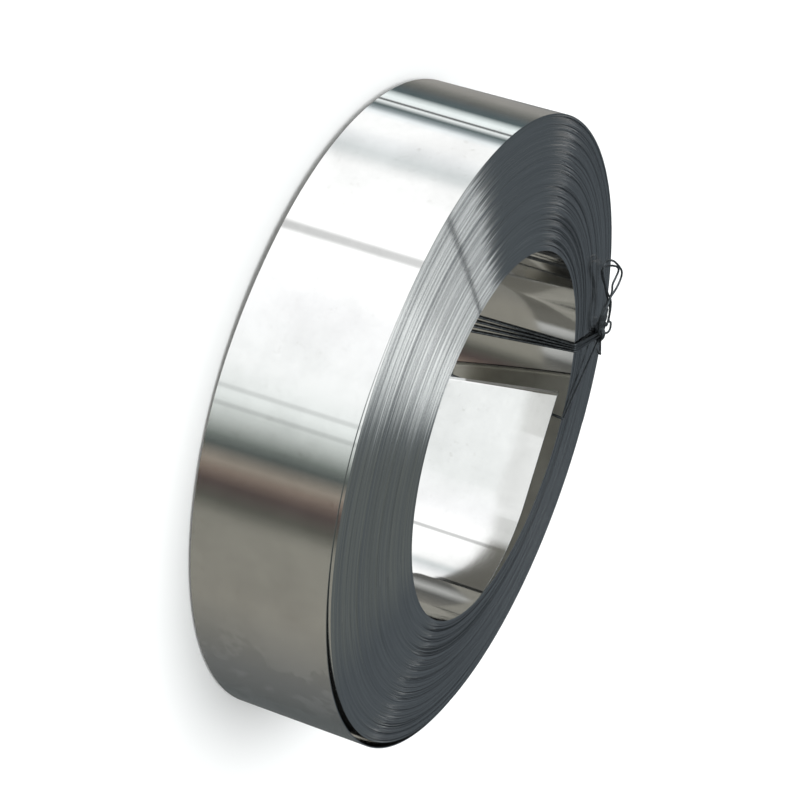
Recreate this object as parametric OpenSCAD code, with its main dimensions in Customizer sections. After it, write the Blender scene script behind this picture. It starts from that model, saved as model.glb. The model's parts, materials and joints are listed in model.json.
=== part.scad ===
// A narrow coil of bright cold-rolled steel strip, held closed by one soft wire tie.
// The coil stands on its end on the plane z = 0, with its axis on Z and the knot on top.
// Sizes are in millimetres, and an angle is counted round the axis from +X towards +Y.
//
// Heights are written from the middle of the outermost tight turn, and stand() then lifts
// each piece onto the plane.

/* [Coil] */
// Outer diameter of the tightly wound turns
coil_d = 508; // [420:1:640]
// Diameter of the bore
bore_d = 300; // [220:1:370]
// Width of the strip
strip_w = 111; // [80:1:150]
// Thickness of the strip
strip_t = 1; // [0.7:0.1:1.5]
// How far the innermost turn stands above the outermost
telescope = 13; // [6:0.5:20]

/* [Outermost turn] */
// Angle of the strip's outer end
outer_end_at = -34; // [-50:1:-26]
// Angle where the turn goes slack
slack_from = 150; // [130:1:170]
// Widest gap under the slack part
slack_gap = 5; // [2:0.5:9]
// How far the turn has dropped below the next turn
edge_set = 2.5; // [1:0.5:5]

/* [Inner tail] */
// Angle where the loose inner end leaves the bore wall
tail_from = -105; // [-120:1:-90]
// Bend radius of the tail as it leaves the wall
tail_bend_r = 100; // [70:1:105]
// Angle of that bend
tail_bend = 65; // [55:1:70]
// Straight length beyond the bend, at the upper edge
tail_straight = 93; // [60:1:100]
// How much shorter the lower edge of the tail is
tail_slant = 17; // [5:1:30]

/* [Wire tie] */
// Diameter of the wire
wire_d = 1.8; // [1.2:0.1:2.4]
// Clear space between the wire and the steel
wire_gap = 0.3; // [0.2:0.1:0.6]
// Distance of the knot in from the rim
knot_in = 32; // [24:1:44]
// Angle of the knot
knot_at = -12.5; // [-18:0.5:-6]

/* [Hidden] */
$fn = 180;

coil_r = coil_d / 2;
bore_r = bore_d / 2;
half_w = strip_w / 2;

// The ends are stepped like the turns: each band stands a little above the one round it.
bands = 12;
band_w = (coil_r - bore_r) / bands;

// Depth by which a turn is sunk into its neighbour where the two are one metal.
bite = 0.2;

// Inner face of the outermost turn where it is tight, and the coil's outer face there.
turn_in_r = coil_r - bite;
rim_r = turn_in_r + strip_t;
turn_step = 1.5;

// The tail lies a little below the innermost turn.
tail_set = 1;
tail_step = 2.5;

// The wire's centre line keeps this far from the steel.
wire_off = wire_d / 2 + wire_gap;
wire_sides = 8;

// Angles of the five strands at the bore's upper and lower edges and at the rim. Four lie
// close together, and the last stands apart and runs behind the tail.
strand_bore_top = [-4.3, -5.1, -5.9, -6.7, -30];
strand_bore_low = [-4.6, -6.8, -9, -11.2, -27];
strand_rim = [-9, -10.5, -12, -13.5, -20];

// The strands pass the knot in a staggered row: offsets across the bundle and up.
knot_row = [[3.2, 0.7], [1.6, -0.7], [0, 0.7], [-1.6, -0.7], [-3.2, 0.7]];

// The wraps that bind the row: half width, half height, length and number.
wrap_half_w = 5.6;
wrap_half_h = 3.4;
wrap_len = 7.5;
wrap_turns = 3;
wrap_steps = 9;
knot_rise = wrap_half_h + wire_off;

// The strands pass under the outermost turn, and the whole stands on them there.
stand_h = half_w + edge_set + wire_off + wire_d / 2;

// The folded free end: a route from its tip through the curl, the lens and the eye to the
// knot. Offsets from the knot along X, Y and Z.
pigtail = [
    [8, -6, 1.5], [14, -9, 1.5], [19, -8, 2], [21, -4, 2], [20, 4, 2], [17, 20, 2.5],
    [12, 34, 2.5], [-5, 56, 4], [-15, 76, 5.5], [-13, 85, 5.5], [1, 79, 5.5], [20, 64, 5.5],
    [27, 49, 5.5], [17, 42, 5.5], [6, 38, 5.5], [1, 28, 3], [-1, 14, 1.5]
];
pigtail_smooth = 2;

// A point at radius r and angle a round the axis, at height z along it.
function polar(r, a, z) = [r * cos(a), r * sin(a), z];

// How far band k stands above the outermost tight turn.
function lift(k) = telescope * (bands - 1 - k) / (bands - 1);

// Height of the line that lies on the corners of the upper end's steps, at radius r.
function top_line(r) = half_w + telescope * (coil_r - r) / (coil_r - bore_r - band_w);

module stand() translate([0, 0, stand_h]) children();

// ---- Strip coil ----

// The tight turns: a ring whose ends step up towards the bore.
module tight_turns() {
    upper = [for (k = [0:bands - 1], side = [0, 1]) [bore_r + (k + side) * band_w, half_w + lift(k)]];
    lower = [for (k = [bands - 1:-1:0], side = [1, 0]) [bore_r + (k + side) * band_w, lift(k) - half_w]];
    rotate_extrude() polygon(concat(upper, lower));
}

// How far the outermost turn has gone through its slack part at angle a, from 0 to 1.
function slack_share(a) = max(0, (a - slack_from) / (outer_end_at + 360 - slack_from));

// Inner radius of the outermost turn at angle a. It bellies out along its slack part, and
// at its root it has sunk by half a thickness, so that the strip's end lies on top of it.
function turn_r(a) =
    let (s = slack_share(a)) turn_in_r + slack_gap * sin(180 * s) ^ 2 - strip_t / 2 * s;

// The outline of that turn, once round from the strip's end, at a distance outside turn_r.
function turn_outline(out) = [
    for (a = [outer_end_at:turn_step:outer_end_at + 360]) (turn_r(a) + out) * [cos(a), sin(a)]
];

module outermost_turn() {
    translate([0, 0, -half_w - edge_set])
        linear_extrude(strip_w)
            difference() {
                polygon(turn_outline(strip_t));
                polygon(turn_outline(0));
            }
}

// The middle line of the tail: a bend that starts inside the bore wall, then a straight run.
tail_centre = (bore_r + bite - tail_bend_r + strip_t / 2) * [cos(tail_from), sin(tail_from)];
tail_end_at = tail_from + tail_bend;
tail_run = [-sin(tail_end_at), cos(tail_end_at)];

// One face of the tail, at a distance off its middle line.
function tail_face(off) = concat(
    [for (a = [tail_from:tail_step:tail_end_at]) tail_centre + (tail_bend_r + off) * [cos(a), sin(a)]],
    [tail_centre + (tail_bend_r + off) * [cos(tail_end_at), sin(tail_end_at)] + tail_straight * tail_run]
);

function backwards(list) = [for (i = [len(list) - 1:-1:0]) list[i]];

// The loose inner end: it curls off the bore wall, then runs straight to a slanted cut.
module inner_tail() {
    low = telescope - tail_set - half_w;
    tip = tail_centre + tail_bend_r * [cos(tail_end_at), sin(tail_end_at)] + tail_straight * tail_run;
    difference() {
        translate([0, 0, low])
            linear_extrude(strip_w)
                polygon(concat(tail_face(-strip_t / 2), backwards(tail_face(strip_t / 2))));
        translate([tip[0], tip[1], low + strip_w])
            rotate([0, 0, tail_end_at])
                rotate([atan(tail_slant / strip_w), 0, 0])
                    translate([-tail_bend_r / 2, 0, -2 * strip_w])
                        cube([tail_bend_r, strip_w, 3 * strip_w]);
    }
}

module strip_coil() color("#b9bdbd") stand() {
    union() {
        tight_turns();
        outermost_turn();
        inner_tail();
    }
}

// ---- Wire tie ----

function unit(v) = v / norm(v);

// Direction of a route at point i.
function heading(route, i) =
    unit(route[min(i + 1, len(route) - 1)] - route[max(i - 1, 0)]);

// A side direction carried along the route without twist, one for each point.
function sides_along(route, i = 0, last = [0.3, 0.2, 1]) =
    let (t = heading(route, i), s = unit(last - (last * t) * t))
    i == len(route) - 1 ? [s] : concat([s], sides_along(route, i + 1, s));

// A route with extra points between its own, on a smooth curve through them.
function smooth(route, n) = [
    for (i = [0:len(route) - 2], j = [0:n - 1])
        let (a = route[max(i - 1, 0)], b = route[i], c = route[i + 1],
             d = route[min(i + 2, len(route) - 1)], t = j / n)
        0.5 * (2 * b + (c - a) * t + (2 * a - 5 * b + 4 * c - d) * t * t
               + (3 * b - a - 3 * c + d) * t * t * t),
    route[len(route) - 1]
];

// A wire of round section swept along a route, with flat ends.
module wire(route) {
    n = wire_sides;
    sides = sides_along(route);
    points = [
        for (i = [0:len(route) - 1], k = [0:n - 1])
            let (t = heading(route, i), s = sides[i], u = cross(t, s), a = 360 * k / n)
            route[i] + wire_d / 2 * (cos(a) * s + sin(a) * u)
    ];
    walls = [
        for (i = [0:len(route) - 2], k = [0:n - 1])
            let (m = (k + 1) % n)
            each [[i * n + k, i * n + m, (i + 1) * n + m], [i * n + k, (i + 1) * n + m, (i + 1) * n + k]]
    ];
    first = [for (k = [n - 1:-1:0]) k];
    last = [for (k = [0:n - 1]) (len(route) - 1) * n + k];
    polyhedron(points, concat(walls, [first, last]));
}

// Three points that carry the wire round an edge of the steel, at radius r and height z,
// from the side it comes along to the side it leaves along.
function round_edge(r, z, a, come, leave) = [
    for (dir = [come, unit(come + leave), leave])
        polar(r + wire_off * dir[0], a, z + wire_off * dir[1])
];

// The knot's centre, and its directions away from the axis, across the bundle and up.
knot = polar(coil_r - knot_in, knot_at, top_line(coil_r - knot_in) + knot_rise);
knot_away = polar(1, knot_at, 0);
knot_across = polar(1, knot_at + 90, 0);
knot_up = [0, 0, 1];

// Strand i where it runs through the wraps, from the rim side to the bore side.
function knot_pass(i) = [
    for (side = [0.5, -0.5])
        knot + side * wrap_len * knot_away + knot_row[i][0] * knot_across + knot_row[i][1] * knot_up
];

// Strand i from the knot through the bore, under the lower end and up round the rim.
function strand(i) = concat(
    knot_pass(i),
    round_edge(bore_r, top_line(bore_r), strand_bore_top[i], [0, 1], [-1, 0]),
    round_edge(bore_r, telescope - half_w, strand_bore_low[i], [-1, 0], [0, -1]),
    round_edge(rim_r, -half_w - edge_set, strand_rim[i], [0, -1], [1, 0]),
    round_edge(rim_r, half_w, strand_rim[i], [1, 0], [0, 1])
);

// The last strand's end, wrapped round the row of strands.
wraps = [
    for (j = [0:wrap_turns * wrap_steps])
        let (a = 180 + 360 * j / wrap_steps, along = wrap_len * (0.5 - j / (wrap_turns * wrap_steps)))
        knot + along * knot_away + wrap_half_w * cos(a) * knot_across + wrap_half_h * sin(a) * knot_up
];

// One length of wire: its folded end, five turns round the coil's section, and the wraps.
module tie_wire() color("#2e3234") stand() {
    wire(concat(
        smooth([for (p = pigtail) knot + p], pigtail_smooth),
        [for (i = [0:len(strand_rim) - 1]) each strand(i)],
        wraps
    ));
}

strip_coil();
tie_wire();
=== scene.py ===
"""The looks of a narrow coil of bright cold-rolled strip, held closed by one soft wire tie.

Everything is in metres in the row's frame: the coil stands on its end on z = 0, its axis is Z
and the tie is on top. Angles are in degrees, counted round the axis from +X towards +Y.
"""

import json
import math

import bpy
import numpy as np
from mathutils import Matrix, Vector


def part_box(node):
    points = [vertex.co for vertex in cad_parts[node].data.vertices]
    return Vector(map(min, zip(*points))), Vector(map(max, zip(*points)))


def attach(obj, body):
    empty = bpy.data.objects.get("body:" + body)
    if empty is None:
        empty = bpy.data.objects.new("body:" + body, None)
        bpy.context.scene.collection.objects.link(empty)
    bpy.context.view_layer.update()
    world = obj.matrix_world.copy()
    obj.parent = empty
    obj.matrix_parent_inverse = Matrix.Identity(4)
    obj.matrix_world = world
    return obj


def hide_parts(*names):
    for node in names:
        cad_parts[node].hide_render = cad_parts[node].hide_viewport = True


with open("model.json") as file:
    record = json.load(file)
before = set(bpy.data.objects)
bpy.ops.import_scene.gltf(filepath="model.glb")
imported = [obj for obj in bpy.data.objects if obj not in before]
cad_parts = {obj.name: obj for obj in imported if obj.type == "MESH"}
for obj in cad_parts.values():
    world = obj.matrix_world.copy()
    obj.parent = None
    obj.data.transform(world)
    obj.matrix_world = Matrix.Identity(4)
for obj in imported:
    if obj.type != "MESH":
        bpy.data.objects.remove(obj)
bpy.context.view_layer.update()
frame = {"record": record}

MM = 0.001

# ---- Sizes that come from the frame ----

COIL_LO, COIL_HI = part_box("strip_coil")
PASSAGE = frame["record"]["mounts"][0]["dims"]
BORE_R = PASSAGE["r_mm"] * MM
STRIP_W = PASSAGE["length_mm"] * MM
STRIP_T = 1 * MM
RIM_R = COIL_HI.x  # outside of the outermost turn where it is tight
WALL_R = RIM_R - STRIP_T
BORE_TOP = COIL_HI.z  # upper edge of the innermost turn
OUTER_LOW = COIL_LO.z  # lower edge of the outermost turn where it has dropped

# ---- The outermost turn, the inner tail and the tie, as the part's source has them ----

BITE = 0.2 * MM
COIL_R = WALL_R + BITE

EDGE_SET = 2.5 * MM
TELESCOPE = BORE_TOP - (OUTER_LOW + STRIP_W + EDGE_SET)
OUTER_END_AT = -34
SLACK_FROM = 150
SLACK_GAP = 5 * MM

TAIL_FROM = -105
TAIL_BEND_R = 100 * MM
TAIL_BEND = 65
TAIL_STRAIGHT = 93 * MM
TAIL_SLANT = 17 * MM
TAIL_SET = 1 * MM

WIRE_R = 0.9 * MM
WIRE_GAP = 0.3 * MM
WIRE_OFF = WIRE_R + WIRE_GAP
KNOT_IN = 32 * MM
KNOT_AT = -12.5
STRAND_BORE_TOP = [-4.3, -5.1, -5.9, -6.7, -30]
STRAND_BORE_LOW = [-4.6, -6.8, -9, -11.2, -27]
STRAND_RIM = [-9, -10.5, -12, -13.5, -20]
KNOT_ROW = [(3.2, 0.7), (1.6, -0.7), (0, 0.7), (-1.6, -0.7), (-3.2, 0.7)]
WRAP_HALF_W = 5.6 * MM
WRAP_HALF_H = 3.4 * MM
WRAP_LEN = 7.5 * MM
WRAP_TURNS = 3

# The folded free end and the wire beside it: offsets from the knot along X, Y and Z, in mm.
PIGTAIL = [
    (-5, 8, 2), (8, -3, 2.5), (15, -4, 3), (16, 3, 3.2), (10, 9, 3.5), (11, 19, 3.5),
    (9, 27, 3.5), (3, 39, 3.5), (-3, 51, 4), (-10, 64, 5), (-16, 75, 5.7), (-16, 81, 5.7),
    (-12, 84, 5.7), (-3, 81, 5.7), (9, 72, 5.7), (22, 58, 5.7), (28, 49, 5.7), (26, 43, 5.7),
    (17, 39, 5.7), (6, 38, 5.7), (-1, 34, 5), (-8, 29, 4), (-11, 22, 3), (-9, 14, 2),
    (-4, 7, 1.5),
]
PIGTAIL_SECOND = [
    (-7, 6, 3), (-13, 14, 4), (-14, 23, 5), (-9, 31, 6.3), (1, 37, 6.3), (6, 43, 6.3),
    (8, 49, 5.7), (14, 52, 5.7), (20, 56, 5.7), (15, 63, 5.7), (1, 73, 5.7), (-9, 78, 5.2),
    (-14, 77, 4), (-9, 66, 3), (-1, 52, 3), (5, 41, 3), (12, 30, 3.2), (13, 19, 3.2),
    (7, 8, 3.5), (2, 9, 3.5),
]

# ---- How the turns show on the ends. A CHANGE is the length of strip, in turns, over which
# ---- something changes, and a SPREAD is by how much it does.

RING_STEPS = 180
TURN_SEAM_AT = TAIL_FROM
RISE_CHANGE = 0.77
RISE_SPREAD = 0.85
TILT_CHANGE = 2 * RISE_CHANGE
TILT_SPREAD = 0.05
# Turns that stand proud, counted from the bore: how many times the usual step it is to the next.
PROUD_TURNS = {23: 2.2, 46: 2.8, 48: 2.2, 71: 2.0, 90: 2.4}
# The rolled corner of a slit edge: width, height, slope, and the most of a turn that it takes.
CORNER_W = 0.45 * MM
CORNER_H = 0.12 * MM
CORNER_SLOPE = 45
CORNER_CHANGE = 1.3
CORNER_SPREAD = 0.7
CORNER_MOST = 0.8
# The normals of the ends sway to and fro by up to SWAY degrees, apart from one calm stretch.
SWAY_CHANGE = 0.55
SWAY = 3.5
CALM_AT = 105
CALM_HALF = 3
CALM_FADE = 7

# ---- The free lengths of strip and the wire ----

EDGE_BEVEL = 0.12 * MM
OUTER_STEPS = 420
OUTER_LAP = 2  # degrees by which the turn goes on beneath its own end
# It drops over DROP_OVER degrees, and comes back up from RETURN_FROM of its slack part on.
DROP_FROM = 115
DROP_OVER = 40
RETURN_FROM = 0.55
TAIL_BEND_STEPS = 70
TAIL_STRAIGHT_STEPS = 24
TAIL_UNDER = 0.2 * MM  # from the bore's top down to the tail's upper edge
TAIL_SET_OVER = 1 / 3  # share of the tail over which it sinks by TAIL_SET
WIRE_SMOOTH_STEPS = 6
WRAP_STEPS = 16
WELD = 0.5e-6

# Places of the materials in a piece's list.
FACE, EDGE, RUBBED = 0, 1, 2

rng = np.random.default_rng(7)


def polar(r, angle, z):
    """A point at radius r and angle round the axis, at height z."""
    a = math.radians(angle)
    return Vector((r * math.cos(a), r * math.sin(a), z))


def smooth_step(x):
    """From 0 to 1 on an even curve, as x goes from 0 to 1."""
    x = np.clip(x, 0.0, 1.0)
    return x * x * (3 - 2 * x)


def wander(u, step, amount):
    """A smooth random curve over u, between -amount and amount, that turns about every step."""
    knots = rng.uniform(-1, 1, int(np.max(u) / step) + 3)
    at = u / step
    low = at.astype(int)
    t = smooth_step(at - low)
    return amount * (knots[low] * (1 - t) + knots[low + 1] * t)


def make_piece(name, points, faces, materials, face_material, normals):
    """A mesh from strips of quads: welds its points, drops faces with no area, sets normals."""
    keys = np.round(points / WELD).astype(np.int64)
    _, first, index = np.unique(keys, axis=0, return_index=True, return_inverse=True)
    index = index.reshape(-1)
    polygons, corner_normals, slots = [], [], []
    for corner, slot in zip(faces, face_material):
        face = [int(index[k]) for k in corner]
        kept = [k for k in range(len(face)) if face[k] != face[k - 1]]
        if len(kept) < 3:
            continue
        polygons.append([face[k] for k in kept])
        corner_normals.extend(normals[corner[k]] for k in kept)
        slots.append(slot)
    mesh = bpy.data.meshes.new(name)
    mesh.from_pydata(points[first].tolist(), [], polygons)
    for material in materials:
        mesh.materials.append(material)
    mesh.polygons.foreach_set("material_index", np.array(slots, np.int32))
    mesh.polygons.foreach_set("use_smooth", np.ones(len(polygons), bool))
    mesh.normals_split_custom_set(np.array(corner_normals).tolist())
    mesh.update()
    piece = bpy.data.objects.new(name, mesh)
    bpy.context.scene.collection.objects.link(piece)
    return piece


def sweep_sections(sections, section_normals):
    """Points, quads and normals of strips between sections.

    sections has the shape (columns, edges, 2, 3): each edge of the section has its own two
    points, so that an edge's normals are its own."""
    columns, edges = sections.shape[:2]
    points = sections.reshape(-1, 3)
    normals = section_normals.reshape(-1, 3)
    at = np.arange(columns * edges * 2).reshape(columns, edges, 2)
    quads = np.stack([at[:-1, :, 0], at[1:, :, 0], at[1:, :, 1], at[:-1, :, 1]], axis=-1)
    return points, quads, normals


def turn_tops(s):
    """Height, tilt, corner and sway of every turn's top, at the share s of a turn.

    All run on along the strip, so turn j at s = 1 is turn j + 1 at s = 0."""
    turns = int((WALL_R - BORE_R) / STRIP_T) + 2
    u = np.arange(turns)[None, :] + s[:, None]
    rise = 1 + wander(u, RISE_CHANGE, RISE_SPREAD)
    for turn, times in PROUD_TURNS.items():
        rise *= 1 + (times - 1) * np.clip(1 - np.abs(u - turn - 0.5), 0, 1)
    first = rise[-1, 0]
    drop = first * s[:, None] + np.cumsum(rise, axis=1) - rise
    drop *= TELESCOPE / drop.max()
    tilt = wander(u, TILT_CHANGE, TILT_SPREAD)
    corner = 1 + wander(u, CORNER_CHANGE, CORNER_SPREAD)
    sway = np.radians(wander(u, SWAY_CHANGE, SWAY))
    return BORE_TOP - drop, tilt, CORNER_W * corner, sway


def tight_turns(faces_of_strip, edges_of_strip):
    """The tight turns: a closed ring whose two ends show every turn as a small step."""
    s = 1 - np.arange(RING_STEPS + 1) / RING_STEPS
    tops, tilt, corner, sway = turn_tops(s)
    count = tops.shape[1]
    bounds = BORE_R + STRIP_T * (np.arange(count + 1)[None, :] - 1 + s[:, None])
    bounds = np.clip(bounds, BORE_R, WALL_R)
    inner, outer = bounds[:, :-1], bounds[:, 1:]
    width = outer - inner
    corner = np.minimum(corner, CORNER_MOST * width)
    corner_h = corner * CORNER_H / CORNER_W
    outer_tops = tops - tilt * width
    up = np.stack([tilt, np.ones_like(tilt)], -1)
    up /= np.linalg.norm(up, axis=-1, keepdims=True)
    out = np.broadcast_to([1.0, 0.0], up.shape)
    slope = math.radians(CORNER_SLOPE)
    rolled = np.broadcast_to([math.sin(slope), math.cos(slope)], up.shape)
    down = -np.broadcast_to([0.0, 1.0], up.shape)

    def edge(r0, z0, n0, r1, z1, n1):
        """One edge of the section, from (r0, z0) to (r1, z1), and the normals of its ends."""
        ends = np.stack([np.stack([r0, z0], -1), np.stack([r1, z1], -1)], -2)
        return ends, np.stack([n0, n1], -2)

    below = np.concatenate([tops[:, 1:], tops[:, -1:]], 1)
    low = tops - STRIP_W
    low_next = below - STRIP_W
    parts = [
        edge(inner, tops, up, outer - corner, outer_tops, up),
        edge(outer - corner, outer_tops, rolled, outer, outer_tops - corner_h, rolled),
        edge(outer[:, :-1], (outer_tops - corner_h)[:, :-1], out[:, :-1],
             outer[:, :-1], below[:, :-1], out[:, :-1]),
        edge(outer[:, -1:], (outer_tops - corner_h)[:, -1:], out[:, -1:],
             outer[:, -1:], low[:, -1:], out[:, -1:]),
        edge(outer[:, :-1], low_next[:, :-1], -out[:, :-1],
             outer[:, :-1], low[:, :-1], -out[:, :-1]),
        edge(outer, low, down, inner, low, down),
        edge(inner[:, :1], low[:, :1], -out[:, :1], inner[:, :1], tops[:, :1], -out[:, :1]),
    ]
    slots = [EDGE, EDGE, EDGE, FACE, EDGE, EDGE, FACE]
    flat = np.concatenate([p[0] for p in parts], 1)
    flat_normals = np.concatenate([p[1] for p in parts], 1)
    edge_slots = np.concatenate([np.full(p[0].shape[1], k) for p, k in zip(parts, slots)])
    angle = np.radians(TURN_SEAM_AT + 360 * np.arange(RING_STEPS + 1) / RING_STEPS)
    angle[-1] = angle[0]
    sections = turned(flat, angle[:, None])
    from_calm = np.abs((np.degrees(angle) - CALM_AT + 180) % 360 - 180)
    sway *= smooth_step((from_calm - CALM_HALF) / CALM_FADE)[:, None]
    sways = [sway[:, :p[0].shape[1]] * (slot == EDGE) for p, slot in zip(parts, slots)]
    normals = turned(flat_normals, angle[:, None] + np.concatenate(sways, 1))
    points, quads, normals = sweep_sections(sections, normals)
    quads = quads[:, :, ::-1]
    face_slots = np.broadcast_to(edge_slots, quads.shape[:2]).reshape(-1)
    return make_piece("coil_turns", points, quads.reshape(-1, 4),
                      [faces_of_strip, edges_of_strip], face_slots, normals)


def turned(flat, angle):
    """Pairs (radius, height) of each column turned to that column's angle, as points."""
    c, s = np.cos(angle)[..., None], np.sin(angle)[..., None]
    return np.stack([flat[..., 0] * c, flat[..., 0] * s, flat[..., 1]], -1)


def strip_piece(name, line, outward, low, high, finishes):
    """A free length of strip, standing on edge along a line.

    line and outward give each column's middle point and outward direction in the plane; low
    and high give its lower and upper edge. Its corners have a small bevel. finishes are those
    of its faces and edges, and of its outward face if that has its own."""
    half, b = STRIP_T / 2, EDGE_BEVEL
    one = np.ones(len(line))
    outline = [
        (half * one, low + b, (1, 0)), (half * one, high - b, (1, 0)),
        ((half - b) * one, high, (0, 1)), ((b - half) * one, high, (0, 1)),
        (-half * one, high - b, (-1, 0)), (-half * one, low + b, (-1, 0)),
        ((b - half) * one, low, (0, -1)), ((half - b) * one, low, (0, -1)),
    ]
    outer_face = RUBBED if len(finishes) > 2 else FACE
    slots = [outer_face, EDGE, EDGE, EDGE, FACE, EDGE, EDGE, EDGE]
    sections, normals = [], []
    for k, (off, z, normal) in enumerate(outline):
        off2, z2, normal2 = outline[(k + 1) % len(outline)]
        ends, end_normals = [], []
        for o, h, n in ((off, z, normal), (off2, z2, normal2)):
            flat = line + outward * o[:, None]
            ends.append(np.concatenate([flat, h[:, None]], 1))
            end_normals.append(np.concatenate([outward * n[0], (one * n[1])[:, None]], 1))
        sections.append(np.stack(ends, 1))
        normals.append(np.stack(end_normals, 1))
    sections, normals = np.stack(sections, 1), np.stack(normals, 1)
    points, quads, normals = sweep_sections(sections, normals)
    face_slots = np.broadcast_to(slots, quads.shape[:2]).reshape(-1)
    faces = [list(q) for q in quads.reshape(-1, 4)]
    caps, cap_points, cap_normals = [], [], []
    for column, sign in ((0, -1), (-1, 1)):
        along = np.array([-outward[column][1], outward[column][0], 0.0]) * sign
        corners = sections[column, :, 0]
        start = len(points) + len(cap_points)
        order = list(range(start, start + len(corners)))
        caps.append(order if sign > 0 else order[::-1])
        cap_points.extend(corners)
        cap_normals.extend([along] * len(corners))
    points = np.concatenate([points, np.array(cap_points)])
    normals = np.concatenate([normals, np.array(cap_normals)])
    return make_piece(name, points, faces + caps, finishes,
                      list(face_slots) + [EDGE] * len(caps), normals)


def outermost_turn(faces_of_strip, edges_of_strip):
    """The loose outermost turn: it bellies out, then goes under its own end."""
    a = np.linspace(OUTER_END_AT, OUTER_END_AT + 360 + OUTER_LAP, OUTER_STEPS)
    share = np.clip((a - SLACK_FROM) / (OUTER_END_AT + 360 - SLACK_FROM), 0, 1)
    inner = WALL_R + SLACK_GAP * np.sin(np.pi * share) ** 2 - STRIP_T * smooth_step(share)
    outward = np.stack([np.cos(np.radians(a)), np.sin(np.radians(a))], 1)
    line = outward * (inner + STRIP_T / 2)[:, None]
    back_up = smooth_step((share - RETURN_FROM) / (1 - RETURN_FROM))
    dropped = smooth_step((a - DROP_FROM) / DROP_OVER) * (1 - back_up)
    low = OUTER_LOW + EDGE_SET * (1 - dropped)
    return strip_piece("outer_turn", line, outward, low, low + STRIP_W,
                       [faces_of_strip, edges_of_strip])


def inner_tail(faces_of_strip, edges_of_strip, rubbed_face):
    """The loose inner end: it leaves the bore wall smoothly and ends in a slanted cut."""
    a = np.radians(np.linspace(TAIL_FROM, TAIL_FROM + TAIL_BEND, TAIL_BEND_STEPS))
    start = np.array([math.cos(a[0]), math.sin(a[0])])
    middle = TAIL_BEND_R - STRIP_T / 2
    centre = start * (BORE_R - middle + STRIP_T / 2)
    bend_out = np.stack([np.cos(a), np.sin(a)], 1)
    bend = centre + middle * bend_out
    away = np.array([math.cos(a[-1]), math.sin(a[-1])])
    run = np.array([-away[1], away[0]])
    steps = np.linspace(0, TAIL_STRAIGHT, TAIL_STRAIGHT_STEPS)[1:]
    straight = bend[-1] + steps[:, None] * run
    line = np.concatenate([bend, straight])
    outward = np.concatenate([bend_out, np.repeat(away[None], len(steps), 0)])
    sunk = smooth_step(np.linspace(0, 1, len(line)) / TAIL_SET_OVER)
    top = BORE_TOP - TAIL_UNDER - TAIL_SET * sunk
    piece = strip_piece("inner_tail", line, outward, top - STRIP_W, top,
                        [faces_of_strip, edges_of_strip, rubbed_face])
    slant_cut(piece, Vector((*bend[-1], 0)), Vector((*run, 0)), top[-1])
    return piece


def slant_cut(piece, start, run, top):
    """Shortens the straight run towards its lower edge, so that the free end is slanted."""
    for vertex in piece.data.vertices:
        along = (vertex.co - start).dot(run)
        if along > 0:
            shorter = TAIL_SLANT * (top - vertex.co.z) / STRIP_W
            vertex.co -= run * (along * shorter / TAIL_STRAIGHT)
    piece.data.update()


# ---- The tie ----


def top_line(r):
    """Height of the upper end at radius r."""
    return BORE_TOP - TELESCOPE * (r - BORE_R) / (WALL_R - BORE_R)


def round_edge(r, z, angle, come, leave):
    """Points that carry the wire round an edge of the steel on a small arc."""
    come, leave = Vector(come), Vector(leave)
    points = []
    for t in (0, 0.25, 0.5, 0.75, 1):
        side = come.slerp(leave, t) if t else come
        points.append(polar(r + WIRE_OFF * side.x, angle, z + WIRE_OFF * side.y))
    return points


def smooth_line(points, steps):
    """A smooth curve through the points, as a closer list of points."""
    made = []
    for i in range(len(points) - 1):
        a, b = points[max(i - 1, 0)], points[i]
        c, d = points[i + 1], points[min(i + 2, len(points) - 1)]
        for j in range(steps):
            t = j / steps
            made.append(0.5 * (2 * b + (c - a) * t + (2 * a - 5 * b + 4 * c - d) * t * t
                               + (3 * b - a - 3 * c + d) * t ** 3))
    return made + [points[-1]]


def tie_routes():
    """The tie's routes: one length with its folded end, five turns round the section and the
    wraps, and the second wire beside the folded end."""
    knot_r = COIL_R - KNOT_IN
    knot = polar(knot_r, KNOT_AT, top_line(knot_r) + WRAP_HALF_H + WIRE_OFF)
    away, across, up = polar(1, KNOT_AT, 0), polar(1, KNOT_AT + 90, 0), Vector((0, 0, 1))
    second = smooth_line([knot + Vector(p) * MM for p in PIGTAIL_SECOND], WIRE_SMOOTH_STEPS)
    route = smooth_line([knot + Vector(p) * MM for p in PIGTAIL], WIRE_SMOOTH_STEPS)
    wall_low = OUTER_LOW + EDGE_SET
    for i, (side, rise) in enumerate(KNOT_ROW):
        offset = across * side * MM + up * rise * MM
        route += [knot + away * WRAP_LEN / 2 + offset, knot - away * WRAP_LEN / 2 + offset]
        route += round_edge(BORE_R, BORE_TOP, STRAND_BORE_TOP[i], (0, 1), (-1, 0))
        route += round_edge(BORE_R, BORE_TOP - STRIP_W, STRAND_BORE_LOW[i], (-1, 0), (0, -1))
        route += round_edge(RIM_R, OUTER_LOW, STRAND_RIM[i], (0, -1), (1, 0))
        route += round_edge(RIM_R, wall_low + STRIP_W, STRAND_RIM[i], (1, 0), (0, 1))
    steps = WRAP_STEPS * WRAP_TURNS
    for j in range(steps + 1):
        a = math.pi + 2 * math.pi * j / WRAP_STEPS
        along = WRAP_LEN * (0.5 - j / steps)
        route.append(knot + away * along + across * WRAP_HALF_W * math.cos(a)
                     + up * WRAP_HALF_H * math.sin(a))
    return route, second


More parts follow.
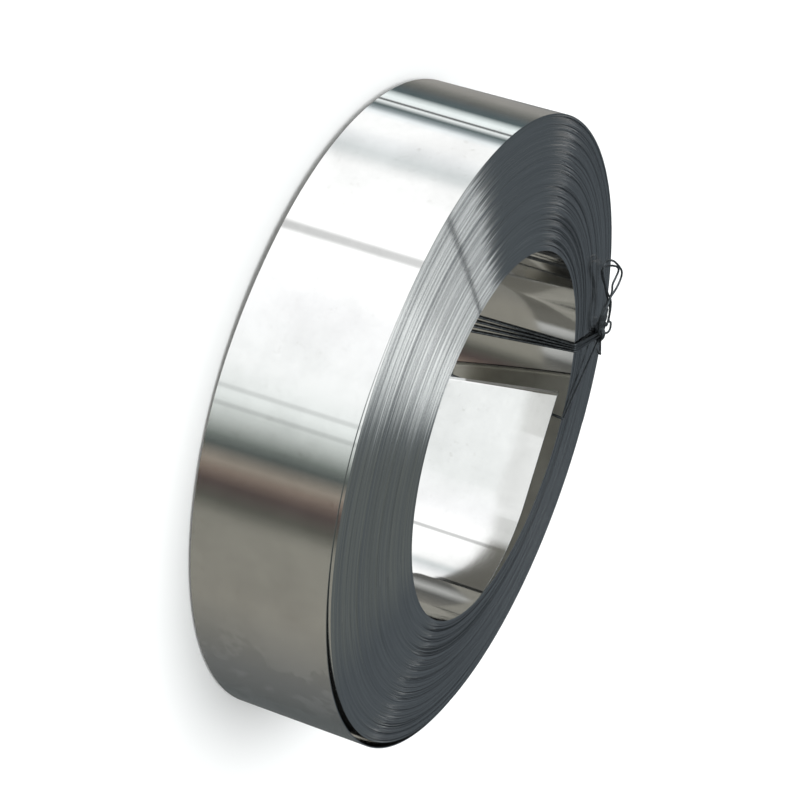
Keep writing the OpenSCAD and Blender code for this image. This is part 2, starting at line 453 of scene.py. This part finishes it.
def tie_wire(material):
    """The tie as one curve object, with a spline for each route."""
    curve = bpy.data.curves.new("wire_tie", "CURVE")
    curve.dimensions = "3D"
    curve.bevel_depth = WIRE_R
    curve.bevel_resolution = 3
    curve.use_fill_caps = True
    for route in tie_routes():
        spline = curve.splines.new("POLY")
        spline.points.add(len(route) - 1)
        for point, place in zip(spline.points, route):
            point.co = (*place, 1)
    curve.materials.append(material)
    piece = bpy.data.objects.new("wire_tie", curve)
    bpy.context.scene.collection.objects.link(piece)
    return piece


# ---- Materials ----

CLEAN_STEEL = (0.675, 0.68, 0.675, 1)
FILMED_STEEL = (0.55, 0.555, 0.55, 1)
DIRT = (0.32, 0.30, 0.27, 1)
RUBBED_DARK = (0.50, 0.485, 0.43, 1)
RUBBED_LIGHT = (0.62, 0.605, 0.54, 1)
EDGE_DARK = (0.54, 0.55, 0.55, 1)
EDGE_LIGHT = (0.68, 0.69, 0.69, 1)
WIRE_DARK = (0.055, 0.061, 0.067, 1)
WIRE_LIGHT = (0.14, 0.155, 0.168, 1)
FLOOR_DARK = (0.86, 0.865, 0.87, 1)
FLOOR_LIGHT = (0.88, 0.88, 0.88, 1)
# Fine lines run along the strip on its faces and its edges, and spread light across it.
ANISOTROPIC = 0.9
ANISOTROPIC_TURN = 0.25
# The angle of the outside's smudged patch, and how far out along it the patch begins and is full.
SMUDGES_AT = 206
SMUDGES_FROM = 0.90 * RIM_R
SMUDGES_FULL = 0.98 * RIM_R


class Tree:
    """A node tree, with short calls to add and link nodes."""

    def __init__(self, tree):
        self.tree = tree

    def add(self, kind, inputs=(), **settings):
        node = self.tree.nodes.new(kind)
        for key, value in settings.items():
            setattr(node, key, value)
        for key, value in dict(inputs).items():
            if isinstance(value, bpy.types.NodeSocket):
                self.tree.links.new(value, node.inputs[key])
            else:
                node.inputs[key].default_value = value
        return node

    def math(self, operation, a, b=0.0):
        return self.add("ShaderNodeMath", {0: a, 1: b}, operation=operation).outputs[0]

    def place(self):
        return self.add("ShaderNodeTexCoord").outputs["Object"]

    def noise(self, vector, scale, detail=3.0, rough=0.5):
        node = self.add("ShaderNodeTexNoise", {"Vector": vector, "Scale": scale,
                                               "Detail": detail, "Roughness": rough})
        return node.outputs["Fac"]

    def spread(self, value, low, high, to_low, to_high):
        node = self.add("ShaderNodeMapRange", {"Value": value, "From Min": low, "From Max": high,
                                               "To Min": to_low, "To Max": to_high})
        return node.outputs["Result"]

    def blend(self, share, a, b):
        node = self.add("ShaderNodeMix", {0: share, 6: a, 7: b}, data_type="RGBA")
        return node.outputs[2]

    def step(self, value, low, high):
        node = self.add("ShaderNodeMapRange", {"Value": value, "From Min": low, "From Max": high},
                        interpolation_type="SMOOTHSTEP")
        return node.outputs["Result"]

    def ramp(self, share, stops):
        """A colour for a share of a full turn, from stops of an angle and a colour."""
        node = self.add("ShaderNodeValToRGB", {0: share})
        elements = node.color_ramp.elements
        while len(elements) < len(stops):
            elements.new(0.5)
        for element, (angle, colour) in zip(elements, stops):
            element.position = angle / 360
            element.color = (*colour, 1)
        return node.outputs["Color"]

    def barred(self, share, colour, bars):
        """The colour with dark bars over it, at the same shares of a full turn."""
        for angle, half, strength in bars:
            off = self.math("ABSOLUTE", self.math("SUBTRACT", share, angle / 360))
            clear = self.step(off, 0.3 * half / 360, half / 360)
            dark = self.math("MULTIPLY", self.math("SUBTRACT", 1.0, clear), strength)
            colour = self.blend(dark, colour, (0, 0, 0, 1))
        return colour

    def polar_place(self, place):
        """Radius, angle in turns and height of a point, as three outputs."""
        split = self.add("ShaderNodeSeparateXYZ", {0: place}).outputs
        flat = self.add("ShaderNodeCombineXYZ", {"X": split["X"], "Y": split["Y"]}).outputs[0]
        radius = self.add("ShaderNodeVectorMath", {0: flat}, operation="LENGTH").outputs["Value"]
        angle = self.math("DIVIDE", self.math("ARCTAN2", split["Y"], split["X"]), 2 * math.pi)
        return radius, angle, split["Z"]


class Finish(Tree):
    """A material with one principled shader."""

    def __init__(self, name):
        self.material = bpy.data.materials.new(name)
        self.material.use_nodes = True
        super().__init__(self.material.node_tree)

    def set(self, **values):
        for key, value in values.items():
            socket = self.tree.nodes["Principled BSDF"].inputs[key.replace("_", " ")]
            if isinstance(value, bpy.types.NodeSocket):
                self.tree.links.new(value, socket)
            else:
                socket.default_value = value
        return self.material


def rolled_strip():
    """The strip's bright faces: nearly a mirror, drawn out by faint rolling lines."""
    n = Finish("rolled_strip")
    place = n.place()
    _, angle, height = n.polar_place(place)
    around = n.math("MULTIPLY", angle, 1.5)
    lines_at = n.add("ShaderNodeCombineXYZ", {"X": around, "Z": height}).outputs[0]
    lines = n.noise(n.add("ShaderNodeVectorMath", {0: lines_at, 1: (3, 1, 900)},
                          operation="MULTIPLY").outputs[0], 1.0, 4.0)
    film = n.noise(place, 14.0, 5.0, 0.6)
    spots = n.noise(place, 160.0, 4.0, 0.65)
    smudged = n.add("ShaderNodeVectorMath", {0: place, 1: polar(1, SMUDGES_AT, 0)},
                    operation="DOT_PRODUCT").outputs["Value"]
    smudges = n.math("MULTIPLY", n.step(smudged, SMUDGES_FROM, SMUDGES_FULL),
                     n.step(n.noise(place, 26.0, 5.0, 0.6), 0.46, 0.54))
    film_share = n.math("MAXIMUM", n.spread(film, 0.42, 0.72, 0.0, 1.0), smudges)
    rough = n.math("ADD", n.spread(film_share, 0, 1, 0.05, 0.07),
                   n.spread(lines, 0.3, 0.7, 0.0, 0.02))
    dirt = n.math("MULTIPLY", n.spread(spots, 0.60, 0.72, 0.0, 1.0), film_share)
    clean = n.blend(n.math("MULTIPLY", film_share, 0.8), CLEAN_STEEL, FILMED_STEEL)
    colour = n.blend(n.math("MULTIPLY", dirt, 0.35), clean, DIRT)
    bump = n.add("ShaderNodeBump", {"Strength": 0.08, "Distance": 0.00002, "Height": lines})
    along = n.add("ShaderNodeVectorMath",
                  {0: (0, 0, 1), 1: n.add("ShaderNodeNewGeometry").outputs["Normal"]},
                  operation="CROSS_PRODUCT").outputs[0]
    return n.set(Base_Color=colour, Metallic=0.985, Roughness=rough, Anisotropic=ANISOTROPIC,
                 Anisotropic_Rotation=ANISOTROPIC_TURN, Tangent=along,
                 Normal=bump.outputs["Normal"])


def rubbed_strip():
    """The tail's hidden face, dulled where it has rubbed on the next turn."""
    n = Finish("rubbed_strip")
    rubs = n.noise(n.place(), 30.0, 4.0, 0.6)
    colour = n.blend(n.spread(rubs, 0.35, 0.65, 0.0, 1.0), RUBBED_DARK, RUBBED_LIGHT)
    return n.set(Base_Color=colour, Metallic=0.45, Roughness=n.spread(rubs, 0.3, 0.7, 0.3, 0.45))


def slit_edges():
    """The strip's slit edges: duller steel, different from turn to turn."""
    n = Finish("slit_edges")
    place = n.place()
    radius, angle, _ = n.polar_place(place)
    turn_at = n.add("ShaderNodeCombineXYZ", {"X": n.math("MULTIPLY", radius, 1 / STRIP_T),
                                             "Y": n.math("MULTIPLY", angle, 14)}).outputs[0]
    turn = n.noise(turn_at, 0.9, 2.0, 0.6)
    band_at = n.add("ShaderNodeCombineXYZ", {"X": n.math("MULTIPLY", radius, 90)}).outputs[0]
    bands = n.noise(band_at, 1.0, 3.0)
    rough = n.math("ADD", n.spread(turn, 0.3, 0.7, 0.10, 0.15), n.spread(bands, 0.3, 0.7, 0, 0.04))
    colour = n.blend(n.spread(turn, 0.3, 0.7, 0.0, 1.0), EDGE_DARK, EDGE_LIGHT)
    along = n.add("ShaderNodeVectorMath", {0: (0, 0, 1), 1: place},
                  operation="CROSS_PRODUCT").outputs[0]
    return n.set(Base_Color=colour, Metallic=1.0, Roughness=rough, Anisotropic=ANISOTROPIC,
                 Anisotropic_Rotation=ANISOTROPIC_TURN, Tangent=along)


def annealed_wire():
    """Soft black wire: a thin dark scale, rubbed a little brighter in places."""
    n = Finish("annealed_wire")
    place = n.place()
    scale = n.noise(place, 400.0, 4.0, 0.6)
    colour = n.blend(n.spread(scale, 0.4, 0.7, 0.0, 1.0), WIRE_DARK, WIRE_LIGHT)
    bump = n.add("ShaderNodeBump", {"Strength": 0.2, "Distance": 0.0001, "Height": scale})
    return n.set(Base_Color=colour, Metallic=0.9, Roughness=n.spread(scale, 0.3, 0.7, 0.3, 0.45),
                 Normal=bump.outputs["Normal"])


def pale_floor():
    """A matt floor, a little uneven in tone."""
    n = Finish("pale_floor")
    grain = n.noise(n.place(), 3.0, 2.0)
    colour = n.blend(grain, FLOOR_DARK, FLOOR_LIGHT)
    return n.set(Base_Color=colour, Roughness=0.9)


# ---- The room, the lights and the camera ----

# The room is fixed, and laid out for one direction, LOOKER: a panel at the angle a is what a
# wall that faces a mirrors towards it. Each stop is an angle and a colour. The panels below
# are what the upright faces show, and those above what the end shows where it doesn't mirror
# the dark wall. Light that meets the steel twice inside the bore has panels of its own, and
# light that meets it more often one plain colour.
LOOKER = (-0.699, 0.624, 0.351)
PANELS_BELOW = [
    (48, (0.12, 0.13, 0.14)), (58, (0.36, 0.35, 0.33)), (63, (0.36, 0.35, 0.325)),
    (66, (0.26, 0.26, 0.24)), (68.5, (0.17, 0.175, 0.165)), (71.5, (0.12, 0.15, 0.16)),
    (74.3, (0.11, 0.155, 0.16)), (74.7, (1.25, 1.35, 1.35)), (79.1, (1.25, 1.3, 1.3)),
    (79.5, (0.11, 0.15, 0.15)), (81.4, (0.13, 0.17, 0.18)), (81.9, (1.1, 1.2, 1.25)),
    (84.5, (1.5, 1.5, 1.5)), (88, (1.5, 1.5, 1.5)), (90.8, (1.28, 1.3, 1.32)),
    (94.8, (0.97, 1.02, 1.03)), (98.0, (1.5, 1.5, 1.5)), (115, (1.8, 1.8, 1.8)),
    (126, (1.5, 1.5, 1.52)), (139, (1.38, 1.4, 1.4)), (145, (1.17, 1.22, 1.2)),
    (149.5, (0.6, 0.64, 0.61)), (151.6, (0.23, 0.26, 0.24)), (153.6, (0.10, 0.115, 0.11)),
    (155.8, (0.42, 0.37, 0.31)), (157.7, (0.29, 0.225, 0.185)), (159.7, (0.11, 0.08, 0.075)),
    (163.4, (0.13, 0.13, 0.11)), (166.5, (0.33, 0.32, 0.275)), (182, (0.35, 0.335, 0.29)),
    (200, (0.20, 0.205, 0.20)), (212, (0.12, 0.13, 0.13)),
]
PANELS_INSIDE = [
    (46, (1.8, 1.8, 1.8)), (74, (1.8, 1.8, 1.8)), (90, (0.40, 0.38, 0.34)),
    (104, (0.2, 0.2, 0.19)), (109, (0.9, 0.9, 0.88)), (113, (1.0, 1.0, 0.98)),
    (116, (0.2, 0.2, 0.19)), (120, (0.2, 0.2, 0.19)), (124, (0.8, 0.8, 0.78)),
    (128, (0.9, 0.9, 0.88)), (133, (0.27, 0.26, 0.23)), (160, (0.24, 0.23, 0.2)),
    (196, (0.3, 0.29, 0.25)), (208, (1.5, 1.5, 1.48)),
]
DEEP_INSIDE = (0.75, 0.72, 0.64, 1)
PANELS_ABOVE = [
    (50, (0.10, 0.115, 0.125)), (86, (0.11, 0.125, 0.135)), (91, (0.26, 0.27, 0.27)),
    (94, (1.0, 1.03, 1.03)), (118, (1.22, 1.25, 1.24)), (123, (1.55, 1.58, 1.57)),
    (133, (1.38, 1.42, 1.41)), (141, (0.56, 0.59, 0.59)), (145, (0.23, 0.25, 0.25)),
    (151, (0.175, 0.19, 0.18)), (186, (0.175, 0.19, 0.18)), (200, (0.11, 0.125, 0.135)),
]
# Dark bars in front of the panels: an angle, half a width in degrees and a strength.
BARS_BELOW = [(78.0, 0.6, 0.85), (113.8, 1.3, 0.45), (143.6, 0.6, 0.22), (146.6, 0.6, 0.22)]
BARS_ABOVE = [(102.7, 1.1, 0.85)]
# The dark wall past the coil, which the flat end mirrors towards LOOKER.
SLATE = (0.10, 0.114, 0.127, 1)
# Each of these fades in between two values: of the cosine to the wall's middle, of the height
# of the direction, and of the ray's depth where it has met the steel twice and more often.
WALL_EDGE = (0.84, 0.92)
HORIZON = (0.0, 0.12)
MET_TWICE = (2.2, 2.8)
MET_MORE = (3.2, 3.8)

FLOOR_HALF = 6.0
LIGHT_ANGLE = 100
LIGHT_ENERGY = 2.6

CAMERA_LENS = 117.3
CAMERA_SENSOR = 36
CAMERA_AT = (-1.4353, 1.2875, 0.7642)
CAMERA_RIGHT = (0.449, 0, 0.894)
CAMERA_UP = (0.557, 0.782, -0.280)


def room():
    """Light from all round: panels below and above, and a dark slate wall past the coil."""
    world = bpy.data.worlds.new("room")
    bpy.context.scene.world = world
    world.use_nodes = True
    n = Tree(world.node_tree)
    looker = Vector(LOOKER).normalized()
    look = n.add("ShaderNodeTexCoord").outputs["Generated"]
    half = n.add("ShaderNodeVectorMath", {0: look, 1: looker}, operation="ADD").outputs[0]
    split = n.add("ShaderNodeSeparateXYZ", {0: half}).outputs
    turns = n.math("DIVIDE", n.math("ARCTAN2", split["Y"], split["X"]), 2 * math.pi)
    share = n.math("FRACT", turns)
    depth = n.add("ShaderNodeLightPath").outputs["Ray Depth"]
    again, deep = n.step(depth, *MET_TWICE), n.step(depth, *MET_MORE)
    below = n.barred(share, n.ramp(share, PANELS_BELOW), BARS_BELOW)
    below = n.blend(again, below, n.ramp(share, PANELS_INSIDE))
    below = n.blend(deep, below, DEEP_INSIDE)
    above = n.barred(share, n.ramp(share, PANELS_ABOVE), BARS_ABOVE)
    height = n.add("ShaderNodeSeparateXYZ", {0: look}).outputs["Z"]
    panels = n.blend(n.step(height, *HORIZON), below, above)
    past = (-looker.x, -looker.y, looker.z)
    facing = n.add("ShaderNodeVectorMath", {0: look, 1: past}, operation="DOT_PRODUCT")
    wall = n.step(facing.outputs["Value"], *WALL_EDGE)
    colour = n.blend(wall, panels, SLATE)
    n.tree.links.new(colour, n.tree.nodes["Background"].inputs["Color"])


def floor_and_light():
    """A pale floor and one wide soft light, neither of which shows in the steel."""
    mesh = bpy.data.meshes.new("floor")
    half = FLOOR_HALF
    mesh.from_pydata([(-half, -half, 0), (half, -half, 0), (half, half, 0), (-half, half, 0)],
                     [], [(0, 1, 2, 3)])
    mesh.materials.append(pale_floor())
    floor = bpy.data.objects.new("floor", mesh)
    bpy.context.scene.collection.objects.link(floor)
    floor.visible_glossy = False
    light = bpy.data.lights.new("overhead", "SUN")
    light.angle = math.radians(LIGHT_ANGLE)
    light.energy = LIGHT_ENERGY
    lamp = bpy.data.objects.new("overhead", light)
    lamp.visible_glossy = False
    bpy.context.scene.collection.objects.link(lamp)


def camera():
    """The camera, rolled so that the coil appears to stand on its rim."""
    data = bpy.data.cameras.new("camera")
    data.lens = CAMERA_LENS
    data.sensor_width = CAMERA_SENSOR
    eye = bpy.data.objects.new("camera", data)
    turn = Matrix((CAMERA_RIGHT, CAMERA_UP, LOOKER)).transposed()
    eye.matrix_world = Matrix.Translation(CAMERA_AT) @ turn.to_4x4()
    bpy.context.scene.collection.objects.link(eye)
    bpy.context.scene.camera = eye


# ---- The whole ----

bpy.context.scene.view_settings.view_transform = "Standard"

camera()
room()
floor_and_light()

strip, edges = rolled_strip(), slit_edges()
for piece in (tight_turns(strip, edges), outermost_turn(strip, edges),
              inner_tail(strip, edges, rubbed_strip())):
    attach(piece, "root")
    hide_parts("strip_coil")

tie = tie_wire(annealed_wire())
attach(tie, "root")
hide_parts("tie_wire")
